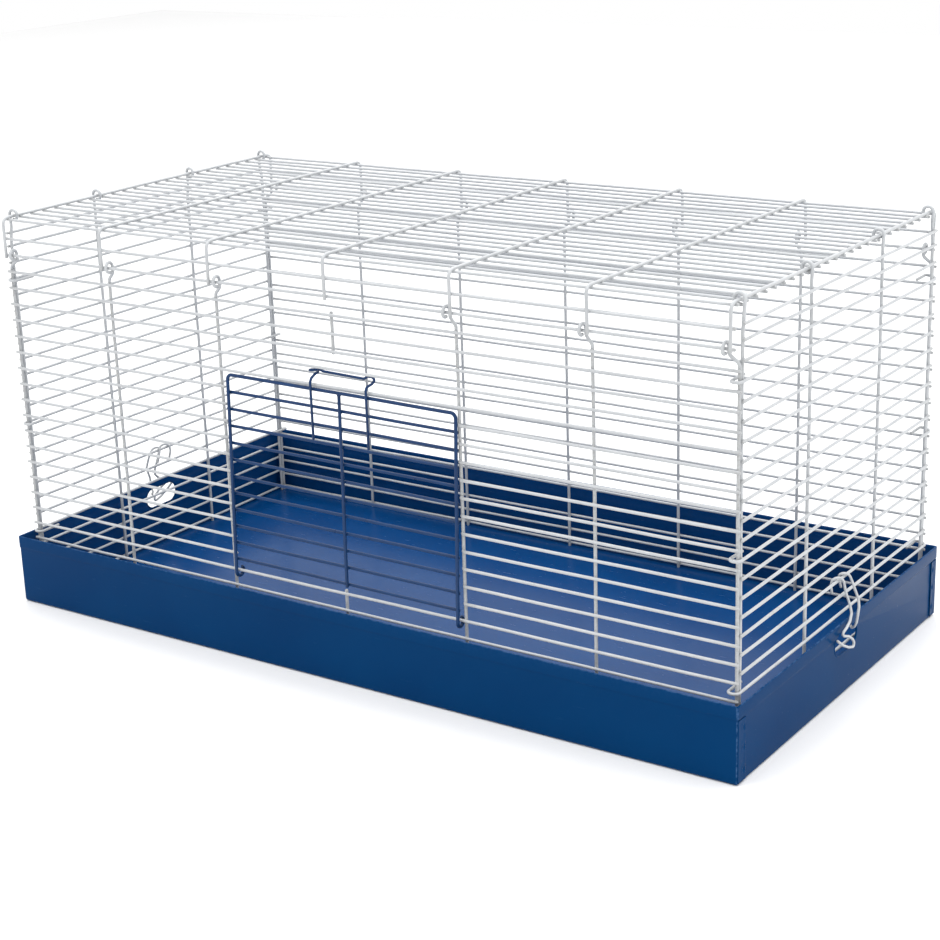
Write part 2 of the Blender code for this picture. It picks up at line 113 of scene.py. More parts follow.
# The wire top's planes, as in the CAD
FLOOR_Z = SHEET + 0.0003
FRONT_Y = -0.2374
BACK_Y = 0.2454
END_X = 0.4895
EDGE_X = 0.4815
PANEL_EDGE_X = 0.4858
INNER_X = (-0.325, -0.1625, 0.1625, 0.325)
LEFT_UPRIGHT_Y = (-0.2300, -0.0865, 0.0850, 0.2380)
LEFT_EYE_Y = (-0.2275, -0.0865, 0.0880, 0.2345)
RIGHT_UPRIGHT_Y = (-0.2300, -0.0790, 0.0970, 0.2380)
RIGHT_EYE_Y = (-0.2275, -0.0800, 0.0970, 0.2345)
TOP_Z = 0.4840
TOP_FIRST_Y = -0.236
TOP_ROWS = 25
LIP_Z = (0.4420, 0.4620)
LIP_END_Z = 0.4395
LIP_BEND = 0.008
FRONT_LIP_Y = -0.2416
BACK_LIP_Y = 0.2491
EYE_RADIUS = 0.0058
EYE_JOG = 0.007
EYE_DRIFT = 0.0016
CROSS_LEAN = 0.0006
PANEL_JOG_Z = (0.4270, 0.4350)
PANEL_EYE_IN = 0.0013
PANEL_EYE_RISE = 0.0005
END_JOG_Z = (0.4560, 0.4740)
END_EYE_RISE = 0.0040

# Rows
BOTTOM_Z = 0.0055
FRONT_FIRST_Z = 0.0205
FRONT_ROWS = 21
BACK_FIRST_Z = 0.0238
BACK_ROWS = 21
END_FIRST_Z = 0.0300
END_ROWS = 22
END_TOP_Z = 0.4660
HINGE_ROW = 4
DOORWAY_ROWS = range(5, 16)
NUB_X = (-0.1560, 0.1637)
HOOK_ROWS = (3, 10, 19)
BACK_HOOK_RISE = 0.0038
HOOK_RETURN = 0.025
HOOK_INSIDE_X = 0.4779
HOOK_STEPS = 14

# Door
HINGE_Z = FRONT_FIRST_Z + HINGE_ROW * PITCH
DOOR_HALF = 0.1556
DOOR_SHIFT = 0.0016
DOOR_SKEW = 0.0041
DOOR_SAG = 0.0022
DOOR_TOP_Z = 0.3362
DOOR_LEAN = 0.004
DOOR_CORNER = 0.006
DOOR_EYE = 0.0055
DOOR_EYE_DROP = 0.0016
DOOR_EYE_DRIFT = 0.0012
DOOR_BARS = 11
DOOR_BAR_Z = 0.1150
DOOR_BAR_ENDS = (-0.1597, 0.1552)
DOOR_CENTRE_X = 0.0080
LATCH_LEFT_X = -0.0276
LATCH_RIGHT_X = 0.0480
LATCH_FOOT_Z = 0.2788
LATCH_BEND_Z = 0.3440
LATCH_NECK_Z = 0.3480
LATCH_NECK_IN = 0.0022
LATCH_INSIDE_Y = -0.2316
LATCH_BAR_Z = 0.3536
LATCH_CROOK_Z = 0.3568
LATCH_EYE = 0.0045
LATCH_EYE_X = LATCH_LEFT_X - 0.0030
LATCH_EYE_Z = (0.3520, 0.3568)
LATCH_CLEARANCE = 0.0006

# The latch's bar and crook: distance along from the right leg, distance in from the coil's middle, and height
LATCH_CROOK = (
    (-0.0680, 0.0036, LATCH_BAR_Z),
    (-0.0103, 0.0000, LATCH_BAR_Z),
    (-0.0048, 0.0000, LATCH_CROOK_Z),
    (0.0020, 0.0000, LATCH_CROOK_Z),
    (0.0045, -0.0006, LATCH_BAR_Z),
    (0.0026, -0.0040, LATCH_NECK_Z + 0.0020),
)

# The end latches' two wires: distance out from the cage's middle, distance along the end, and height
LEVER_ROUTE = (
    (0.4845, -0.0070, 0.1155),
    (0.4845, -0.0105, 0.1249),
    (0.4856, -0.0105, 0.1318),
    (0.4880, -0.0078, 0.1341),
    (0.4912, -0.0044, 0.1343),
    (0.4938, -0.0020, 0.1322),
    (0.4946, 0.0002, 0.1285),
    (0.4955, 0.0040, 0.1160),
    (0.5000, 0.0061, 0.1010),
    (0.5030, 0.0040, 0.0927),
    (0.5045, -0.0030, 0.0862),
    (0.5045, -0.0120, 0.0815),
    (0.5045, -0.0195, 0.0795),
    (0.5047, -0.0222, 0.0770),
    (0.5050, -0.0185, 0.0745),
    (0.5050, -0.0066, 0.0700),
    (0.5055, 0.0030, 0.0632),
    (0.5060, 0.0062, 0.0580),
    (0.5060, 0.0040, 0.0540),
    (0.5060, -0.0080, 0.0578),
    (0.5060, -0.0233, 0.0657),
    (0.5060, -0.0381, 0.0761),
)
HOOK_ROUTE = (
    (0.4845, 0.0158, 0.1155),
    (0.4845, 0.0115, 0.1249),
    (0.4856, 0.0083, 0.1318),
    (0.4880, 0.0083, 0.1341),
    (0.4912, 0.0108, 0.1343),
    (0.4938, 0.0144, 0.1322),
    (0.4946, 0.0172, 0.1285),
    (0.4960, 0.0198, 0.1221),
    (0.5000, 0.0188, 0.1138),
    (0.5050, 0.0169, 0.1048),
    (0.5078, 0.0123, 0.0980),
    (0.5080, 0.0090, 0.0892),
    (0.5065, 0.0095, 0.0805),
    (0.5035, 0.0115, 0.0745),
    (0.4990, 0.0145, 0.0712),
    (0.4950, 0.0204, 0.0705),
)

# Stage
FLOOR_SIZE = 12
FLOOR_GAP = 0.0005

# Camera
CAMERA_AZIMUTH = math.radians(34.72)
CAMERA_ELEVATION = math.radians(18.25)
CAMERA_ROLL = math.radians(-1.96)
CAMERA_PLACE = (1.3042, -1.8656, 0.9273)
CAMERA_LENS = 76.44

dice = random.Random(SEED)

# White stays white, as on a bright studio sweep
bpy.context.scene.view_settings.view_transform = "Standard"


# Shader helpers


def new_material(name):
    material = bpy.data.materials.new(name)
    material.use_nodes = True
    nodes = material.node_tree.nodes
    return material, nodes, material.node_tree.links, nodes["Principled BSDF"]


def noise_node(nodes, links, coords, scale, detail=3.0, roughness=0.55):
    node = nodes.new("ShaderNodeTexNoise")
    node.inputs["Scale"].default_value = scale
    node.inputs["Detail"].default_value = detail
    node.inputs["Roughness"].default_value = roughness
    links.new(coords, node.inputs["Vector"])
    return node.outputs["Fac"]


def ramp_node(nodes, links, factor, stops):
    node = nodes.new("ShaderNodeValToRGB")
    while len(node.color_ramp.elements) < len(stops):
        node.color_ramp.elements.new(0.5)
    for element, (position, colour) in zip(node.color_ramp.elements, stops):
        element.position = position
        element.color = (*colour, 1.0)
    links.new(factor, node.inputs["Fac"])
    return node.outputs["Color"]


def mix_node(nodes, links, factor, first, second):
    node = nodes.new("ShaderNodeMix")
    node.data_type = "RGBA"
    links.new(factor, node.inputs["Factor"])
    links.new(first, node.inputs["A"])
    if isinstance(second, tuple):
        node.inputs["B"].default_value = (*second, 1.0)
    else:
        links.new(second, node.inputs["B"])
    return node.outputs["Result"]


def range_node(nodes, links, value, low, high, to_low, to_high):
    node = nodes.new("ShaderNodeMapRange")
    node.inputs["From Min"].default_value = low
    node.inputs["From Max"].default_value = high
    node.inputs["To Min"].default_value = to_low
    node.inputs["To Max"].default_value = to_high
    links.new(value, node.inputs["Value"])
    return node.outputs["Result"]


def bump_node(nodes, links, height, strength, distance, normal=None):
    node = nodes.new("ShaderNodeBump")
    node.inputs["Strength"].default_value = strength
    node.inputs["Distance"].default_value = distance
    links.new(height, node.inputs["Height"])
    if normal is not None:
        links.new(normal, node.inputs["Normal"])
    return node.outputs["Normal"]


def object_coords(nodes):
    return nodes.new("ShaderNodeTexCoord").outputs["Object"]


def coated_wire(name, pale, deep, weld_tone, speck, coat, gloss):
    """Dipped wire: a slightly uneven coat, duller at the welds and cut ends, with a few pinholes."""
    material, nodes, links, shader = new_material(name)
    coords = object_coords(nodes)
    clouds = noise_node(nodes, links, coords, 38.0)
    colour = ramp_node(nodes, links, clouds, ((0.3, deep), (0.7, pale)))
    weld = nodes.new("ShaderNodeAttribute")
    weld.attribute_name = "weld"
    grain = noise_node(nodes, links, coords, 420.0, 2.0)
    burnt = nodes.new("ShaderNodeMath")
    burnt.operation = "MULTIPLY"
    links.new(weld.outputs["Fac"], burnt.inputs[0])
    links.new(range_node(nodes, links, grain, 0.35, 0.75, 0.15, 1.0), burnt.inputs[1])
    colour = mix_node(nodes, links, burnt.outputs["Value"], colour, weld_tone)
    pits = noise_node(nodes, links, coords, 900.0, 1.0)
    pinholes = range_node(nodes, links, pits, 0.735, 0.77, 0.0, 0.8)
    colour = mix_node(nodes, links, pinholes, colour, speck)
    links.new(colour, shader.inputs["Base Color"])
    links.new(range_node(nodes, links, clouds, 0.3, 0.7, 0.26, 0.40), shader.inputs["Roughness"])
    runs = noise_node(nodes, links, coords, 150.0, 2.0)
    peel = bump_node(nodes, links, grain, 0.12, 0.0003)
    links.new(bump_node(nodes, links, runs, 0.25, 0.0006, peel), shader.inputs["Normal"])
    shader.inputs["Specular IOR Level"].default_value = gloss
    shader.inputs["Coat Weight"].default_value = coat
    shader.inputs["Coat Roughness"].default_value = 0.12
    return material


def painted_sheet(name, pale, deep, gloss):
    """Blue paint on thin steel: never quite flat, with a fine orange peel, faint scuffs, and edges painted
    lighter, partly as worn paint and partly as a painted highlight.
    """
    material, nodes, links, shader = new_material(name)
    coords = object_coords(nodes)
    clouds = noise_node(nodes, links, coords, 7.0)
    colour = ramp_node(nodes, links, clouds, ((0.3, deep), (0.7, pale)))
    scuffs = nodes.new("ShaderNodeMapping")
    scuffs.inputs["Scale"].default_value = (14.0, 90.0, 90.0)
    links.new(coords, scuffs.inputs["Vector"])
    streaks = noise_node(nodes, links, scuffs.outputs["Vector"], 3.0, 4.0, 0.7)
    worn = range_node(nodes, links, streaks, 0.62, 0.85, 0.0, 0.06)
    colour = mix_node(nodes, links, worn, colour, (0.030, 0.095, 0.260))
    # Edges painted lighter: worn paint at the bottom folds, and on the rim and the corners worn paint
    # together with a painted highlight.
    edge = nodes.new("ShaderNodeAttribute")
    edge.attribute_name = "edge"
    chips = range_node(nodes, links, noise_node(nodes, links, coords, 260.0, 3.0), 0.40, 0.62, 0.0, 1.0)
    wear_and_highlight_mask = nodes.new("ShaderNodeMath")
    wear_and_highlight_mask.operation = "MULTIPLY"
    links.new(edge.outputs["Fac"], wear_and_highlight_mask.inputs[0])
    links.new(chips, wear_and_highlight_mask.inputs[1])
    colour = mix_node(nodes, links, wear_and_highlight_mask.outputs["Value"], colour, (0.08, 0.16, 0.32))
    links.new(colour, shader.inputs["Base Color"])
    links.new(range_node(nodes, links, streaks, 0.3, 0.8, 0.20, 0.30), shader.inputs["Roughness"])
    shader.inputs["Specular IOR Level"].default_value = gloss
    peel = bump_node(nodes, links, noise_node(nodes, links, coords, 500.0, 1.0), 0.02, 0.0002)
    buckle = noise_node(nodes, links, coords, 7.0, 0.0)
    links.new(bump_node(nodes, links, buckle, 0.20, 0.004, peel), shader.inputs["Normal"])
    return material


# Geometry helpers


def arc(centre, radius, start, turn, step=math.radians(12)):
    count = max(2, round(abs(turn) / step))
    points = []
    for index in range(count + 1):
        angle = start + turn * index / count
        points.append((centre[0] + radius * math.cos(angle), centre[1] + radius * math.sin(angle)))
    return points


def round_bends(route, radius, step=math.radians(18)):
    """A route's corners as arcs of a bend radius, tighter where the legs are short."""
    places = [Vector(place) for place in route]
    rounded = [places[0]]
    for before, here, after in zip(places, places[1:], places[2:]):
        back = (before - here).normalized()
        ahead = (after - here).normalized()
        opening = back.angle(ahead)
        if math.pi - opening < step:
            rounded.append(here)
            continue
        longest = 0.48 * min((before - here).length, (after - here).length)
        cut = min(radius / math.tan(opening / 2), longest)
        bend = cut * math.tan(opening / 2)
        centre = here + (back + ahead).normalized() * (bend / math.sin(opening / 2))
        first = here + back * cut - centre
        last = here + ahead * cut - centre
        count = math.ceil((math.pi - opening) / step)
        for index in range(count + 1):
            rounded.append(centre + first.slerp(last, index / count) * bend)
    rounded.append(places[-1])
    return rounded


def wandering(route, size):
    """A route with rings close enough together to stray a little from the straight line."""
    phases = [dice.uniform(0, math.tau) for _ in range(6)]
    places = [Vector(place) for place in route]
    strayed = []
    run = 0.0
    for start, end in zip(places, places[1:]):
        length = (end - start).length
        count = max(1, round(length / RING_SPACING))
        for index in range(count):
            strayed.append((start.lerp(end, index / count), run + length * index / count))
        run += length
    strayed.append((places[-1], run))
    total = run
    result = []
    for place, along in strayed:
        hold = min(1.0, along / STRAIGHT_END, (total - along) / STRAIGHT_END)
        stray = Vector()
        for axis in range(3):
            slow = math.sin(along * SLOW_WAVE + phases[axis])
            quick = math.sin(along * QUICK_WAVE + phases[axis + 3])
            stray[axis] = slow + 0.4 * quick
        result.append(place + stray * size * hold)
    return result


class Shape:
    """A mesh being gathered: tubes and nuggets, and how near each point is to a weld or a cut end."""

    def __init__(self):
        self.points = []
        self.faces = []
        self.hot = []

    def ring(self, centre, across, up, radius, sides):
        first = len(self.points)
        for index in range(sides):
            angle = math.tau * index / sides
            aside = across * (radius * math.cos(angle))
            self.points.append(centre + aside + up * (radius * math.sin(angle)))
        return list(range(first, first + sides))

    def bridge(self, lower, upper):
        count = len(lower)
        for index in range(count):
            after = (index + 1) % count
            self.faces.append((lower[index], lower[after], upper[after], upper[index]))

    def tube(self, route, radius, sides=SIDES, closed=False):
        """A round wire along a route, with slightly domed ends."""
        places = [Vector(place) for place in route]
        count = len(places)
        tangents = []
        for index in range(count):
            before = places[index - 1] if index or closed else places[index]
            after = places[(index + 1) % count] if index < count - 1 or closed else places[index]
            tangents.append((after - before).normalized())
        across = tangents[0].orthogonal().normalized()
        rings = []
        dome = ((0.9, 0.60), (0.45, 0.90)) if not closed else ()
        up = tangents[0].cross(across)
        for depth, share in dome:
            tip = places[0] - tangents[0] * radius * depth * 0.5
            rings.append(self.ring(tip, across, up, radius * share, sides))
        for place, tangent in zip(places, tangents):
            across = (across - tangent * across.dot(tangent)).normalized()
            up = tangent.cross(across)
            rings.append(self.ring(place, across, up, radius, sides))
        for depth, share in dome[::-1]:
            tip = places[-1] + tangents[-1] * radius * depth * 0.5
            rings.append(self.ring(tip, across, up, radius * share, sides))
        for lower, upper in zip(rings, rings[1:]):
            self.bridge(lower, upper)
        if closed:
            shift = self.best_shift(rings[-1], rings[0])
            self.bridge(rings[-1], rings[0][shift:] + rings[0][:shift])
            return
        self.faces.append(tuple(reversed(rings[0])))
        self.faces.append(tuple(rings[-1]))
        self.hot += [places[0].copy(), places[-1].copy()]

    def best_shift(self, last, first):
        spans = []
        for shift in range(len(first)):
            turned = first[shift:] + first[:shift]
            spans.append(sum((self.points[a] - self.points[b]).length for a, b in zip(last, turned)))
        return spans.index(min(spans))

    def nugget(self, centre, normal, along, size=NUGGET):
        """The flattened bead of a resistance weld where two wires cross."""
        normal = Vector(normal)
        along = Vector(along)
        side = normal.cross(along)
        size = size * dice.uniform(*NUGGET_SPREAD)
        centre = Vector(centre)
        rings = []
        for level in range(1, NUGGET_STEPS):
            angle = math.pi * level / NUGGET_STEPS
            middle = centre + normal * (math.cos(angle) * size * 0.75)
            rings.append(self.ring(middle, side * 0.92, along * 1.1, size * math.sin(angle), NUGGET_SIDES))
        for lower, upper in zip(rings, rings[1:]):
            self.bridge(upper, lower)
        self.faces.append(tuple(rings[0]))
        self.faces.append(tuple(reversed(rings[-1])))
        self.hot.append(centre)

    def to_object(self, name, material, body, replaced, slot):
        mesh = bpy.data.meshes.new(name)
        mesh.from_pydata([tuple(point) for point in self.points], [], self.faces)
        mesh.validate()
        mesh.shade_smooth()
        mesh.set_sharp_from_angle(angle=math.radians(50))
        tree = kdtree.KDTree(len(self.hot))
        for index, place in enumerate(self.hot):
            tree.insert(place, index)
        tree.balance()
        heat = mesh.attributes.new("weld", "FLOAT", "POINT")
        for vertex in mesh.vertices:
            distance = tree.find(vertex.co)[2]
            near = max(0.0, 1.0 - distance / WELD_REACH)
            heat.data[vertex.index].value = near * near * (3 - 2 * near)
        piece = bpy.data.objects.new(name, mesh)
        bpy.context.scene.collection.objects.link(piece)
        mesh.materials.append(material)
        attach(piece, body)
        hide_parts(*replaced)
        return piece


# Wire top


def x_wire(y, z, low, high):
    return wandering([(low, y, z), (high, y, z)], WANDER)


def cross_wire(x):
    z = TOP_Z + ACROSS
    front = FRONT_LIP_Y - ACROSS
    back = BACK_LIP_Y + ACROSS
    lean = dice.uniform(-CROSS_LEAN, CROSS_LEAN)
    corners = [(x + lean, front, LIP_END_Z), (x, front, z), (x - lean, back, z), (x, back, LIP_END_Z)]
    return wandering(round_bends(corners, LIP_BEND), WANDER * 0.6)


def eye_curl(line, centre, turn_degrees=285):
    """An eye's points in its own plane, from the line of its upright over the held wire and back under it."""
    leads_right = line > centre[0]
    turn = math.radians(turn_degrees)
    return arc(centre, EYE_RADIUS, 0.0 if leads_right else math.pi, turn if leads_right else -turn)


def panel_upright(x, y, lip_y):
    """A front or back upright, jogged aside from the top's cross wire and curled round the lower lip wire."""
    eye_x = x - math.copysign(EYE_JOG, x) if x else EYE_JOG
    if abs(x) == PANEL_EDGE_X:
        eye_x = math.copysign(EDGE_X - EYE_JOG, x)
    outward = math.copysign(1, y)
    centre = (lip_y - outward * PANEL_EYE_IN, LIP_Z[0] + PANEL_EYE_RISE)
    curl = eye_curl(y, centre)
    drift = math.copysign(EYE_DRIFT, eye_x - x)
    low, high = PANEL_JOG_Z
    straight = wandering([(x, y, FLOOR_Z), (x, y, low - 0.007)], WANDER)
    neck = round_bends([straight[-1], (x, y, low), (eye_x, y, high), (eye_x, y, centre[1] - 0.002)], 0.006)
    loop = []
    for index, (across, up) in enumerate(curl):
        loop.append(Vector((eye_x + drift * index / len(curl), across, up)))
    return straight[:-1] + neck[:-1] + loop


def end_upright(x, y, eye_y):
    """An end upright, curled round the top's outer cross wire."""
    side = math.copysign(1, x)
    centre = (side * EDGE_X, TOP_Z + END_EYE_RISE)
    curl = eye_curl(x, centre)
    drift = EYE_DRIFT if y > 0 else -EYE_DRIFT
    low, high = END_JOG_Z
    straight = wandering([(x, y, FLOOR_Z), (x, y, low - 0.008)], WANDER)
    neck = [straight[-1], (x, y, low), (x, eye_y, high), (x, eye_y, centre[1] - 0.002)]
    loop = []
    for index, (across, up) in enumerate(curl):
        loop.append(Vector((across, eye_y - drift * index / len(curl), up)))
    return straight[:-1] + round_bends(neck, 0.010)[:-1] + loop


def make_top_panel(paint):
    reach = EDGE_X + WIRE_END
    grid = Shape()
    rows = [TOP_FIRST_Y + PITCH * row for row in range(TOP_ROWS)]
    for y in rows:
        grid.tube(x_wire(y, TOP_Z, -reach, reach), FINE)
    for lip_y in (FRONT_LIP_Y, BACK_LIP_Y):
        for z in LIP_Z:
            grid.tube(x_wire(lip_y, z, -reach, reach), FINE)
    places = [-EDGE_X, *INNER_X[:2], 0.0, *INNER_X[2:], EDGE_X]
    crossers = {0: grid, len(places) - 1: grid}
    for index, x in enumerate(places):
        shape = crossers.get(index) or Shape()
        shape.tube(cross_wire(x), HEAVY)
        for y in rows:
            shape.nugget((x, y, TOP_Z + FINE - SINK / 2), UP, ALONG_X)
        for lip_y, outward in ((FRONT_LIP_Y, -1), (BACK_LIP_Y, 1)):
            for z in LIP_Z:
                crossing = (x, lip_y + outward * (FINE - SINK / 2), z)
                shape.nugget(crossing, (0, outward, 0), ALONG_X)
        if shape is not grid:
            name = f"top_cross_wire_{index}"
            shape.to_object(name + "_round", paint, "wire_top", [name], "white_wire")
    grid.to_object("top_grid_round", paint, "wire_top", ["top_grid"], "white_wire")


def make_front_panel(paint):
    reach = PANEL_EDGE_X + WIRE_END
    grid = Shape()
    heights = [BOTTOM_Z] + [FRONT_FIRST_Z + PITCH * row for row in range(FRONT_ROWS)]
    doorway = [FRONT_FIRST_Z + PITCH * row for row in DOORWAY_ROWS]
    for z in heights:
        if z in doorway:
            grid.tube(x_wire(FRONT_Y, z, -reach, NUB_X[0]), FINE)
            grid.tube(x_wire(FRONT_Y, z, NUB_X[1], reach), FINE)
        else:
            grid.tube(x_wire(FRONT_Y, z, -reach, reach), FINE)
    y = FRONT_Y + ACROSS
    for index, x in enumerate((-PANEL_EDGE_X, *INNER_X, PANEL_EDGE_X)):
        shape = grid if abs(x) == PANEL_EDGE_X else Shape()
        shape.tube(panel_upright(x, y, FRONT_LIP_Y), HEAVY)
        for z in heights:
            shape.nugget((x, FRONT_Y + FINE - SINK / 2, z), ALONG_Y, UP)
        if shape is not grid:
            name = f"front_upright_{index}"
            shape.to_object(name + "_round", paint, "wire_top", [name], "white_wire")
    grid.to_object("front_grid_round", paint, "wire_top", ["front_grid"], "white_wire")
    top = heights[-1]
    stubs = {
        "front_stub_over_door": (top - 2 * PITCH - WIRE_END, top + WIRE_END),
        "front_stub_under_door": (FLOOR_Z, HINGE_Z + WIRE_END),
    }
    for name, (low, high) in stubs.items():
        shape = Shape()
        shape.tube(wandering([(0, y, low), (0, y, high)], WANDER), HEAVY)
        for z in heights:
            if low < z < high:
                shape.nugget((0, FRONT_Y + FINE - SINK / 2, z), ALONG_Y, UP)
        shape.to_object(name + "_round", paint, "wire_top", [name], "white_wire")


def make_back_panel(paint):
    reach = PANEL_EDGE_X + WIRE_END
    grid = Shape()
    heights = [BOTTOM_Z] + [BACK_FIRST_Z + PITCH * row for row in range(BACK_ROWS)]
    for z in heights:
        grid.tube(x_wire(BACK_Y, z, -reach, reach), FINE)
    for index, x in enumerate((-PANEL_EDGE_X, *INNER_X[:2], 0.0, *INNER_X[2:], PANEL_EDGE_X)):
        shape = grid if abs(x) == PANEL_EDGE_X else Shape()
        shape.tube(panel_upright(x, BACK_Y - ACROSS, BACK_LIP_Y), HEAVY)
        for z in heights:
            shape.nugget((x, BACK_Y - FINE + SINK / 2, z), ALONG_Y, UP)
        if shape is not grid:
            name = f"back_upright_{index}"
            shape.to_object(name + "_round", paint, "wire_top", [name], "white_wire")
    grid.to_object("back_grid_round", paint, "wire_top", ["back_grid"], "white_wire")


def hook(side, z, y, outward, rise):
    """A row's end bent round both uprights at a corner and back along the inside."""
    middle = side * (END_X + HOOK_INSIDE_X) / 2
    radius = (END_X - HOOK_INSIDE_X) / 2
    points = []
    for index in range(HOOK_STEPS + 1):
        done = index / HOOK_STEPS
        x = middle + side * radius * math.cos(math.pi * done)
        points.append((x, y + outward * radius * math.sin(math.pi * done), z + rise * done))
    points.append((side * HOOK_INSIDE_X, y - outward * HOOK_RETURN, z + rise))
    return points


def make_end_panel(paint, name, side, upright_y, eye_y):
    front_y = FRONT_Y + ACROSS
    back_y = BACK_Y - ACROSS
    low = upright_y[0] - WIRE_END
    high = upright_y[-1] + WIRE_END
    x = side * END_X
    grid = Shape()
    heights = [BOTTOM_Z] + [END_FIRST_Z + PITCH * row for row in range(END_ROWS)] + [END_TOP_Z]
    for index, z in enumerate(heights):
        if index - 1 in HOOK_ROWS:
            route = hook(side, z, front_y, -1, 0)[::-1] + hook(side, z, back_y, 1, BACK_HOOK_RISE)
        else:
            route = [(x, low, z), (x, high, z)]
        grid.tube(wandering(route, WANDER), FINE)
    for index, (y, top_y) in enumerate(zip(upright_y, eye_y)):
        shape = grid if index in (0, 3) else Shape()
        shape.tube(end_upright(side * (END_X - ACROSS), y, top_y), HEAVY)
        for z in heights:
            shape.nugget((side * (END_X - FINE + SINK / 2), y, z), ALONG_X, UP)
        if shape is not grid:
            node = f"{name}_upright_{index}"
            shape.to_object(node + "_round", paint, "wire_top", [node], "white_wire")
    grid.to_object(name + "_grid_round", paint, "wire_top", [name + "_grid"], "white_wire")


# Door


def door_y(z):
    """The door frame's plane: it leans inwards towards its top."""
    return FRONT_Y - DOOR_EYE + DOOR_LEAN * (z - HINGE_Z) / (DOOR_TOP_Z - HINGE_Z)


def door_x(offset, z):
    """A place across the door, which is skewed a little to the right towards its top."""
    return DOOR_SHIFT + offset + DOOR_SKEW * (z - HINGE_Z) / (DOOR_TOP_Z - HINGE_Z)


def door_sag(offset):
    """How much lower the door's bars hang towards its right."""
    return -DOOR_SAG * (offset + DOOR_HALF) / (2 * DOOR_HALF)


def door_leg(side):
    foot_x = door_x(side * DOOR_HALF, HINGE_Z)
    curl = arc((FRONT_Y, HINGE_Z - DOOR_EYE_DROP), DOOR_EYE, math.radians(410), math.radians(-230))
    route = []
    for index, (across, up) in enumerate(curl):
        route.append(Vector((foot_x - side * DOOR_EYE_DRIFT * (1 - index / len(curl)), across, up)))
    turn_z = DOOR_TOP_Z + door_sag(side * DOOR_HALF) - DOOR_CORNER
    ends = [HINGE_Z + DOOR_CORNER, turn_z]
    route += wandering([(door_x(side * DOOR_HALF, z), door_y(z), z) for z in ends], WANDER)
    start = 0.0 if side > 0 else math.pi
    corner = arc((side * (DOOR_HALF - DOOR_CORNER), turn_z), DOOR_CORNER, start, side * math.pi / 2)
    return route + [Vector((door_x(across, up), door_y(up), up)) for across, up in corner[1:]]


def make_door(paint):
    outline = Shape()
    left = door_leg(-1)
    right = door_leg(1)
    top = wandering([left[-1], right[-1]], WANDER)
    outline.tube(left[:-1] + top + right[-2::-1], DOOR_FRAME)
    heights = [DOOR_BAR_Z + PITCH * index for index in range(DOOR_BARS)]
    for z in heights:
        for side in (-1, 1):
            offset = side * DOOR_HALF
            crossing = (door_x(offset, z), door_y(z) + DOOR_FRAME - SINK / 2, z + door_sag(offset))
            outline.nugget(crossing, ALONG_Y, UP)
    centre_top = DOOR_TOP_Z + door_sag(DOOR_CENTRE_X)
    crossing = (DOOR_CENTRE_X, door_y(centre_top), centre_top - HEAVY)
    outline.nugget(crossing, UP, ALONG_X, DOOR_NUGGET)
    outline.to_object("door_frame_round", paint, "door", ["door_frame"], "blue_wire")
    for index, z in enumerate(heights):
        bar = Shape()
        y = door_y(z) + DOOR_BAR + DOOR_FRAME - SINK
        ends = [(door_x(end, z), y, z + door_sag(end)) for end in DOOR_BAR_ENDS]
        bar.tube(wandering(ends, WANDER), DOOR_BAR)
        node = f"door_bar_{index + 1:02d}"
        bar.to_object(node + "_round", paint, "door", [node], "blue_wire")
    low = DOOR_BAR_Z - WIRE_END
    centre = Shape()
    line = [(DOOR_CENTRE_X, door_y(z), z) for z in (low, centre_top)]
    centre.tube(wandering(line, WANDER), HEAVY)
    for z in heights:
        crossing = (DOOR_CENTRE_X, door_y(z) + HEAVY - SINK / 2, z + door_sag(DOOR_CENTRE_X))
        centre.nugget(crossing, ALONG_Y, UP)
    centre.to_object("door_centre_bar_round", paint, "door", ["door_centre_bar"], "blue_wire")


def latch_leg(x):
    """A leg in front of the door, up and in between two rows of the front panel."""
    outside = door_y(DOOR_TOP_Z) - DOOR_FRAME - SPRING - LATCH_CLEARANCE
    neck = (x, outside + LATCH_NECK_IN, LATCH_NECK_Z)
    return [(x, outside, LATCH_FOOT_Z), (x, outside, LATCH_BEND_Z), neck]


def make_door_latch(paint):
    """One bent spring wire: two legs, a coil on the left, a bar to press down, and a crook on the right."""
    route = latch_leg(LATCH_LEFT_X)
    low, high = LATCH_EYE_Z
    ring = arc((LATCH_EYE_X, LATCH_INSIDE_Y), LATCH_EYE, math.radians(-30), math.radians(400))
    route += [(x, y, low + (high - low) * step / (len(ring) - 1)) for step, (x, y) in enumerate(ring)]
    for along, out, z in LATCH_CROOK:
        route.append((LATCH_RIGHT_X + along, LATCH_INSIDE_Y + out, z))
    route += latch_leg(LATCH_RIGHT_X)[::-1]
    latch = Shape()
    latch.tube(round_bends(route, 0.004, math.radians(13)), SPRING)
    latch.to_object("door_latch_round", paint, "door_latch", ["door_latch"], "blue_wire")


def make_end_latch(paint, name, side):
    """An end latch's lever and hook; the latch at the other end is the same, turned half round."""
    for piece, shape in (("lever", LEVER_ROUTE), ("hook", HOOK_ROUTE)):
        route = [(side * out, side * along, z) for out, along, z in shape]
        wire = Shape()
        wire.tube(round_bends(route, 0.005, math.radians(8)), SPRING)
        node = f"{name}_latch_{piece}"
        wire.to_object(node + "_round", paint, f"{name}_end_latch", [node], "latch_wire")


# Pan


def corner_ring(offset, z, step=math.radians(15)):
    """The pan's outline at a distance outside its wall, with rounded corners."""
    radius = max(CORNER_RADIUS + offset, 0.0002)
    reach_x = HALF_X + offset - radius
    reach_y = HALF_Y + offset - radius
    ring = []
    for side, end, start in ((1, -1, -90), (1, 1, 0), (-1, 1, 90), (-1, -1, 180)):
        corner = arc((side * reach_x, end * reach_y), radius, math.radians(start), math.pi / 2, step)
        ring += [(across, up, z) for across, up in corner]
    return ring


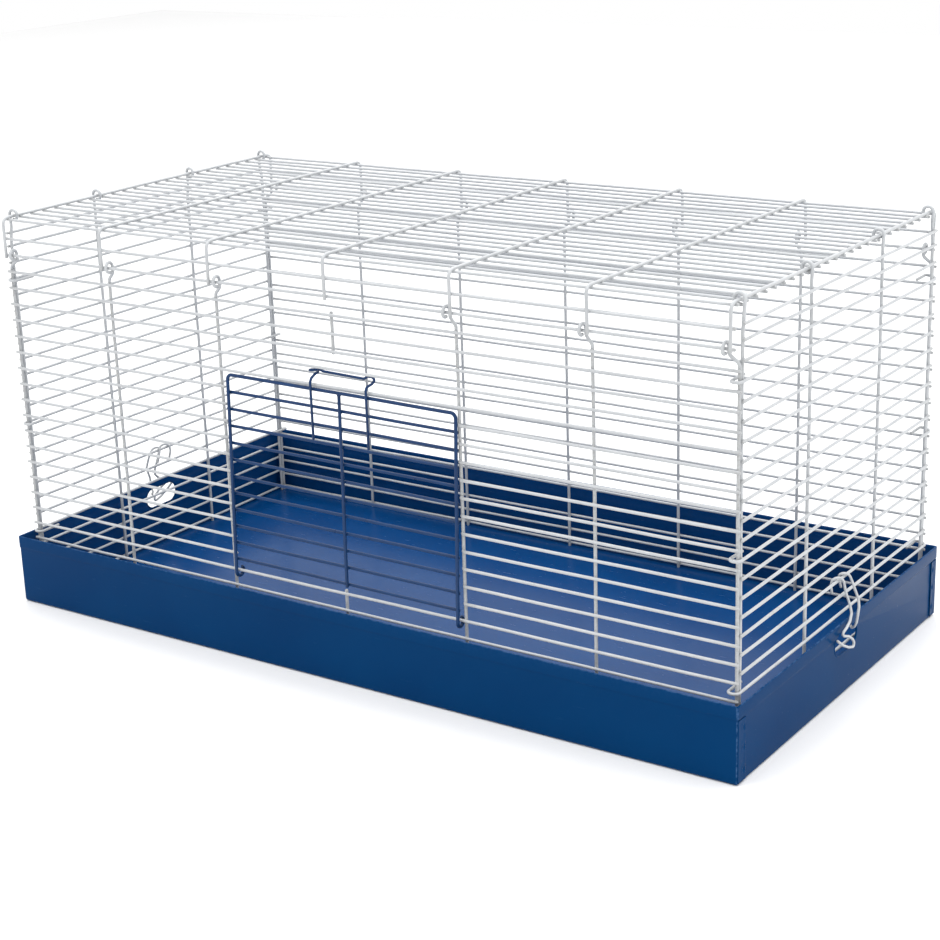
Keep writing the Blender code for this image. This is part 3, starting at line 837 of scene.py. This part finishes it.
def pan_profile():
    """The floor's edge, the inside, the hem's rolled rim and the outside, as distance outwards and height."""
    inner = -SHEET
    rim = (SHEET + HEM) / 2
    profile = [(inner - FOLD_RADIUS, SHEET)]
    profile += arc((inner - FOLD_RADIUS, SHEET + FOLD_RADIUS), FOLD_RADIUS, -math.pi / 2, math.pi / 2)
    profile.append((inner, PAN_HEIGHT / 2))
    profile += arc(((HEM - SHEET) / 2, PAN_HEIGHT - rim), rim, math.pi, -math.pi)
    edge = PAN_HEIGHT - HEM_HEIGHT
    profile.append((HEM, edge + 0.0012))
    profile.append((HEM * 0.85, edge + 0.0004))
    profile.append((HEM * 0.5, edge))
    profile.append((0.00015, edge + 0.0002))
    profile.append((0.0, edge - 0.0004))
    profile.append((0.0, PAN_HEIGHT / 3))
    outer = FOLD_RADIUS + SHEET
    profile += arc((-outer, outer), outer, 0.0, -math.pi / 2)
    return profile


def stadium(length, height, step=math.radians(10)):
    radius = height / 2
    reach = length / 2 - radius
    right = arc((reach, 0), radius, -math.pi / 2, math.pi, step)
    return right + arc((-reach, 0), radius, math.pi / 2, math.pi, step)


def mesh_object(name, points, faces, material):
    mesh = bpy.data.meshes.new(name)
    mesh.from_pydata([tuple(point) for point in points], [], faces)
    mesh.validate()
    work = bmesh.new()
    work.from_mesh(mesh)
    bmesh.ops.remove_doubles(work, verts=work.verts, dist=1e-6)
    bmesh.ops.recalc_face_normals(work, faces=work.faces)
    work.to_mesh(mesh)
    work.free()
    mesh.shade_smooth()
    mesh.set_sharp_from_angle(angle=math.radians(35))
    piece = bpy.data.objects.new(name, mesh)
    bpy.context.scene.collection.objects.link(piece)
    if material:
        mesh.materials.append(material)
    return piece


def mark_wear_and_highlight(piece):
    """How much lighter each point of the pan is painted, most on the rim, the folds and the corners: worn
    paint at the folds, and worn paint together with a painted highlight on the rim and the corners.
    """
    worn = piece.data.attributes.new("edge", "FLOAT", "POINT")
    for vertex in piece.data.vertices:
        x, y, z = vertex.co
        rim = max(0.0, 1.0 - abs(z - PAN_HEIGHT) / 0.0012)
        corner = 0.0
        if abs(x) > HALF_X - CORNER_RADIUS and abs(y) > HALF_Y - CORNER_RADIUS:
            corner = 0.5
        fold = 0.25 if z < 0.0012 else 0.0
        worn.data[vertex.index].value = max(rim * 0.4, corner, fold)


def paint_inside(piece, paint):
    """The inside's paint, from the floor up to the hem's rolled rim: glossier, and painted a lighter blue
    than the outside to make up for the shade inside the pan.
    """
    piece.data.materials.append(paint)
    for face in piece.data.polygons:
        x, y, z = face.center
        if abs(x) < HALF_X - SHEET / 2 and abs(y) < HALF_Y - SHEET / 2 and z > SHEET / 2:
            face.material_index = 1


def cut_hole(pan, side):
    outline = stadium(HOLE_LENGTH, HOLE_HEIGHT)
    count = len(outline)
    points = []
    for x in (side * (HALF_X - HOLE_CUT), side * (HALF_X + HOLE_CUT)):
        points += [(x, across, HOLE_Z + up) for across, up in outline]
    faces = [tuple(range(count)), tuple(range(2 * count - 1, count - 1, -1))]
    for index in range(count):
        after = (index + 1) % count
        faces.append((index, index + count, after + count, after))
    cutter = mesh_object(f"hole_cutter_{side}", points, faces, None)
    step = pan.modifiers.new("hole", "BOOLEAN")
    step.operation = "DIFFERENCE"
    step.object = cutter
    bpy.context.view_layer.update()
    graph = bpy.context.evaluated_depsgraph_get()
    mesh = bpy.data.meshes.new_from_object(pan.evaluated_get(graph))
    pan.modifiers.clear()
    pan.data = mesh
    bpy.data.objects.remove(cutter)


def make_pan(paint, inside_paint):
    profile = pan_profile()
    points = []
    faces = []
    count = len(corner_ring(0, 0))
    for offset, z in profile:
        points += corner_ring(offset, z)
    for level in range(len(profile) - 1):
        for index in range(count):
            after = (index + 1) % count
            low = level * count
            faces.append((low + index, low + after, low + count + after, low + count + index))
    faces.append(tuple(range(count)))
    last = (len(profile) - 1) * count
    faces.append(tuple(range(last + count - 1, last - 1, -1)))
    pan = mesh_object("pan_sheet", points, faces, paint)
    for side in (-1, 1):
        cut_hole(pan, side)
    pan.data.shade_smooth()
    pan.data.set_sharp_from_angle(angle=math.radians(35))
    mark_wear_and_highlight(pan)
    paint_inside(pan, inside_paint)
    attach(pan, "pan")
    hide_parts("base_pan", "left_pan_end", "right_pan_end")
    for side in (-1, 1):
        make_hole_rim(paint, side)
        for end in (-1, 1):
            make_tab(paint, side, end)


def make_hole_rim(paint, side):
    """The hole's edge, rolled over so that it doesn't cut."""
    rim = Shape()
    outline = stadium(HOLE_LENGTH + 0.0008, HOLE_HEIGHT + 0.0008)
    x = side * (HALF_X - SHEET / 2)
    rim.tube([(x, across, HOLE_Z + up) for across, up in outline[:-1]], HOLE_RIM, closed=True)
    rim.hot.append(Vector(NO_WELD))
    name = "right" if side > 0 else "left"
    piece = rim.to_object(name + "_hole_rim", paint, "pan", [name + "_pan_end"], "blue_sheet")
    piece.data.attributes.new("edge", "FLOAT", "POINT")


def make_tab(paint, side, end):
    """A corner tab: the front or back wall's flap, folded onto the end wall and spot-welded to it."""
    name = ("right" if side > 0 else "left") + ("_back" if end > 0 else "_front") + "_tab"
    high = PAN_HEIGHT - HEM_HEIGHT - 0.0008
    points = []
    for row in range(TAB_ROWS + 1):
        z = TAB_LOW + (high - TAB_LOW) * row / TAB_ROWS
        for column in range(TAB_COLUMNS + 1):
            across = TAB_WIDTH * column / TAB_COLUMNS
            depth = TAB_THICKNESS
            for weld in TAB_WELDS:
                aside = (across - TAB_WIDTH + TAB_WELD_IN) / DIMPLE_SIZE[0]
                away = math.hypot(aside, (z - weld) / DIMPLE_SIZE[1])
                depth -= DIMPLE_DEPTH * math.exp(-away * away)
                depth += DIMPLE_LIP * math.exp(-((away - 1.5) ** 2) * 4)
            between = min(abs(z - weld) for weld in TAB_WELDS)
            lift = min(1.0, between / 0.009) * max(0.0, across / TAB_WIDTH - 0.7) / 0.3
            depth += TAB_CURL * lift
            if column == 0:
                depth = 0.0001
            points.append((side * (HALF_X + depth), end * (HALF_Y - 0.0006 - across), z))
    width = TAB_COLUMNS + 1
    faces = []
    for row in range(TAB_ROWS):
        for column in range(TAB_COLUMNS):
            first = row * width + column
            faces.append((first, first + 1, first + width + 1, first + width))
    tab = mesh_object(name, points, faces, paint)
    thick = tab.modifiers.new("sheet", "SOLIDIFY")
    thick.thickness = TAB_GAUGE
    thick.offset = -1.0
    bpy.context.view_layer.update()
    graph = bpy.context.evaluated_depsgraph_get()
    tab.data = bpy.data.meshes.new_from_object(tab.evaluated_get(graph))
    tab.modifiers.clear()
    tab.data.attributes.new("edge", "FLOAT", "POINT")
    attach(tab, "pan")


# Stage


def make_stage():
    bpy.ops.mesh.primitive_plane_add(size=FLOOR_SIZE, location=(0, 0, -FLOOR_GAP))
    floor = bpy.context.object
    floor.name = "floor"
    material, nodes, links, shader = new_material("pale_floor")
    shader.inputs["Base Color"].default_value = (0.84, 0.84, 0.84, 1.0)
    shader.inputs["Roughness"].default_value = 0.7
    floor.data.materials.append(material)
    world = bpy.data.worlds.new("studio")
    bpy.context.scene.world = world
    world.use_nodes = True
    background = world.node_tree.nodes["Background"]
    background.inputs["Color"].default_value = (1.0, 1.0, 1.0, 1.0)
    background.inputs["Strength"].default_value = 1.0


def add_light(name, place, target, size, power):
    light = bpy.data.lights.new(name, "AREA")
    light.shape = "RECTANGLE"
    light.size, light.size_y = size
    light.energy = power
    lamp = bpy.data.objects.new(name, light)
    bpy.context.scene.collection.objects.link(lamp)
    lamp.location = place
    lamp.rotation_euler = (Vector(target) - Vector(place)).to_track_quat("-Z", "Y").to_euler()


def make_lights():
    add_light("key", (-1.2, -2.4, 2.6), (0, 0, 0.2), (1.8, 1.4), 14)
    add_light("fill", (2.6, -0.6, 1.6), (0.2, 0, 0.2), (1.6, 1.6), 10)
    add_light("overhead", (0, 1.2, 4.2), (0, 1.2, 0), (7.0, 7.0), 300)


def make_camera():
    camera = bpy.data.cameras.new("camera")
    camera.lens = CAMERA_LENS
    camera.sensor_width = 36
    holder = bpy.data.objects.new("camera", camera)
    bpy.context.scene.collection.objects.link(holder)
    level = math.cos(CAMERA_ELEVATION)
    heading = Vector((-math.sin(CAMERA_AZIMUTH), math.cos(CAMERA_AZIMUTH), 0.0))
    ahead = heading * level - Vector((0.0, 0.0, math.sin(CAMERA_ELEVATION)))
    right = Vector((math.cos(CAMERA_AZIMUTH), math.sin(CAMERA_AZIMUTH), 0.0))
    up = right.cross(ahead)
    rolled_right = right * math.cos(CAMERA_ROLL) + up * math.sin(CAMERA_ROLL)
    rolled_up = up * math.cos(CAMERA_ROLL) - right * math.sin(CAMERA_ROLL)
    turn = Matrix((rolled_right, rolled_up, -ahead)).transposed().to_4x4()
    holder.matrix_world = Matrix.Translation(CAMERA_PLACE) @ turn
    bpy.context.scene.camera = holder


make_camera()
make_stage()
make_lights()

white_wire = coated_wire(
    "white_coated_wire",
    pale=(0.465, 0.480, 0.495),
    deep=(0.405, 0.420, 0.435),
    weld_tone=(0.30, 0.30, 0.29),
    speck=(0.12, 0.11, 0.10),
    coat=0.15,
    gloss=0.5,
)
blue_wire = coated_wire(
    "blue_coated_wire",
    pale=(0.004, 0.034, 0.115),
    deep=(0.003, 0.024, 0.085),
    weld_tone=(0.006, 0.014, 0.040),
    speck=(0.05, 0.06, 0.09),
    coat=0.1,
    gloss=0.2,
)
# The same blue paint inside and out, glossier inside. The inside's blue is also painted lighter than the
# outside's to make up for the shade inside the pan, which is painted light.
blue_sheet = painted_sheet("blue_painted_sheet", (0.0004, 0.036, 0.122), (0.0002, 0.030, 0.108), 0.03)
blue_inside_lightened = painted_sheet("blue_painted_inside_lightened", (0.0004, 0.046, 0.170), (0.0002, 0.038, 0.148), 0.22)

make_pan(blue_sheet, blue_inside_lightened)
make_top_panel(white_wire)
make_front_panel(white_wire)
make_back_panel(white_wire)
make_end_panel(white_wire, "left_end", -1, LEFT_UPRIGHT_Y, LEFT_EYE_Y)
make_end_panel(white_wire, "right_end", 1, RIGHT_UPRIGHT_Y, RIGHT_EYE_Y)
make_door(blue_wire)
make_door_latch(blue_wire)
make_end_latch(white_wire, "left", -1)
make_end_latch(white_wire, "right", 1)
